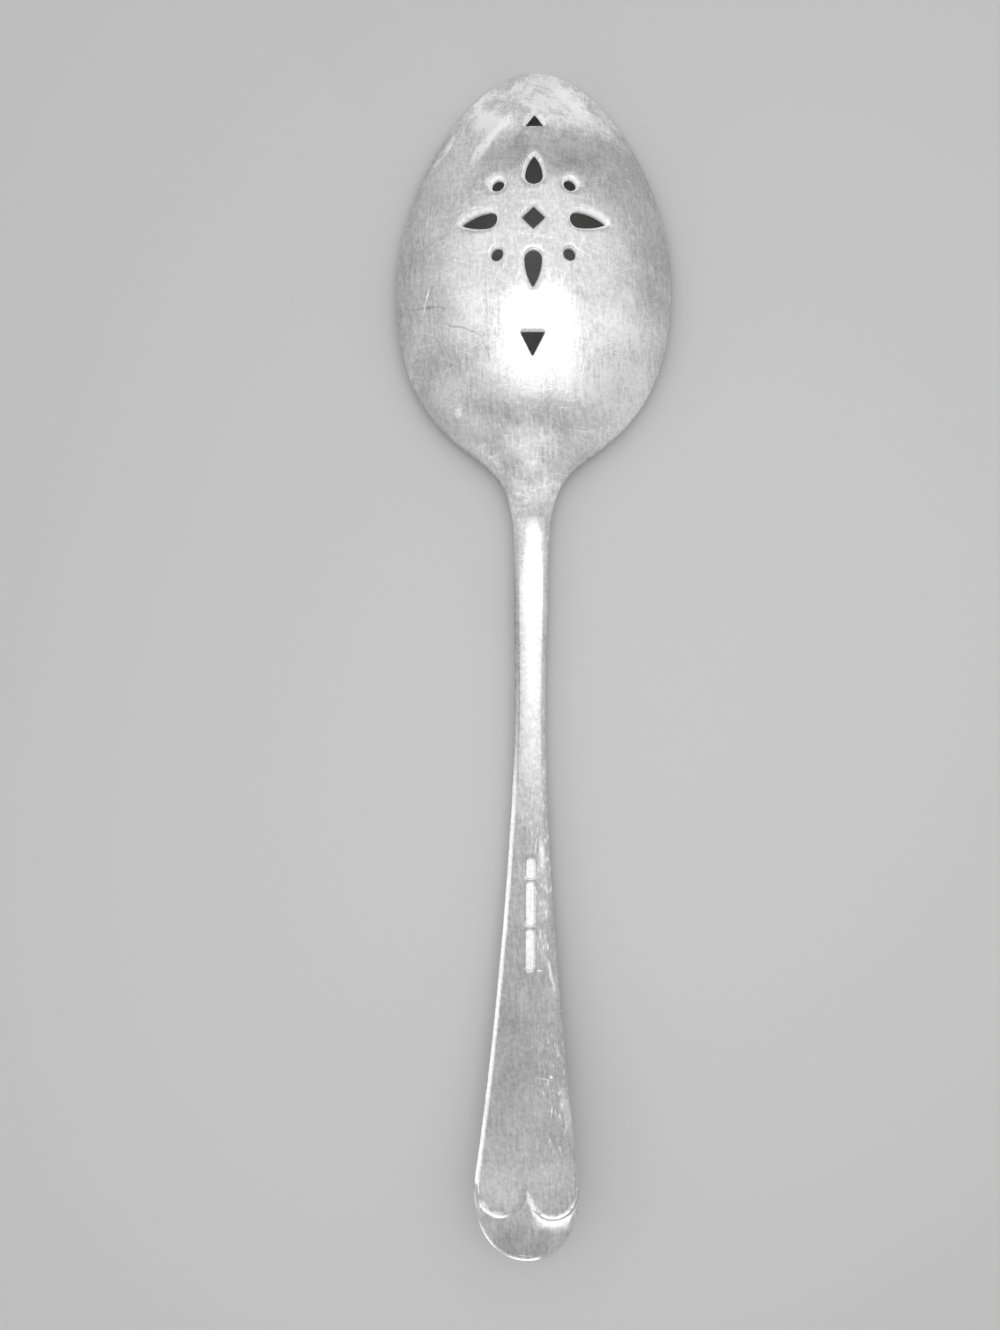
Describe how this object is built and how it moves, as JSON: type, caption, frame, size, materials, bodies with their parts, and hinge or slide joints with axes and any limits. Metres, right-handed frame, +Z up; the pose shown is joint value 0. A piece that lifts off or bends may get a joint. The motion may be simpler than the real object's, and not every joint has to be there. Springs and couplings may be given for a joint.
{
  "type": "pierced serving spoon",
  "caption": "Serving spoon with a deep egg-shaped bowl pierced by a cross of drops and small holes, a slim stem and a flared handle with a double-scroll end.",
  "frame": {"origin": "on the table under the middle of the spoon's length, on its plane of symmetry", "axes": "+Y along the spoon towards the tip of the bowl, +Z up out of the back of the bowl, +X to the right when seen from above"},
  "size_m": [0.0508, 0.215, 0.0149],
  "materials": {
    "bowl_silver": "polished silver plate with fine scratches",
    "handle_silver": "worn silver plate, satin with scratches and bright edges"
  },
  "bodies": {
    "root": {"bowl": "bowl_silver", "neck": "bowl_silver", "stem": "handle_silver", "handle": "handle_silver", "terminal": "handle_silver"}
  },
  "joints": []
}
